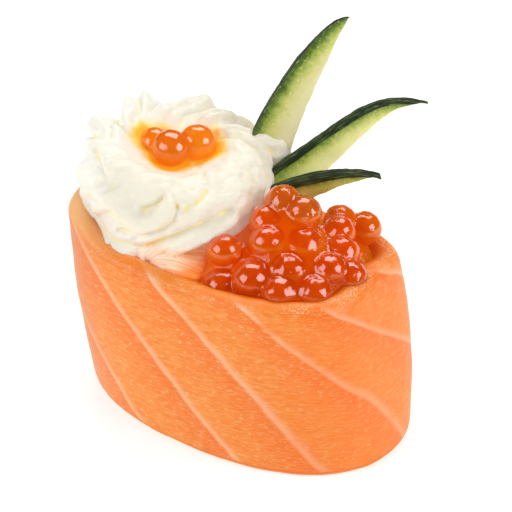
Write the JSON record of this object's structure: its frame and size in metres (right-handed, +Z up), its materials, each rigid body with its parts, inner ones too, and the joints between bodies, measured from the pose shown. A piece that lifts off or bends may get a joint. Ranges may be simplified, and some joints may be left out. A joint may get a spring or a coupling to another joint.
{
  "type": "salmon roe gunkan",
  "caption": "Oval block of rice wrapped in a tall band of raw salmon, topped with a piped rosette of soft cheese, salmon roe and cucumber slices.",
  "frame": {"origin": "middle of the underside, on the face of the rice grain that the piece rests on", "axes": "+Z up; X along the oval's long axis, with the rosette towards -X and the roe towards +X; -Y is the long side seen from the front"},
  "size_m": [0.0602, 0.0475, 0.0615],
  "materials": {
    "salmon": "moist satin flesh with pale fat lines",
    "rice": "moist cooked grains",
    "cream": "soft satin cream",
    "roe": "wet gloss, see-through",
    "egg": "wet gloss, see-through",
    "cucumber": "dark waxy rind, wet pale flesh"
  },
  "bodies": {
    "root": {"salmon_band": "salmon", "rice_block": "rice", "cream_rosette": "cream", "roe_heap": "roe", "cream_egg_left": "egg", "cream_egg_front": "egg", "cream_egg_right": "egg", "cucumber_slice_tall": "cucumber", "cucumber_slice_middle": "cucumber", "cucumber_slice_low": "cucumber"}
  },
  "joints": []
}
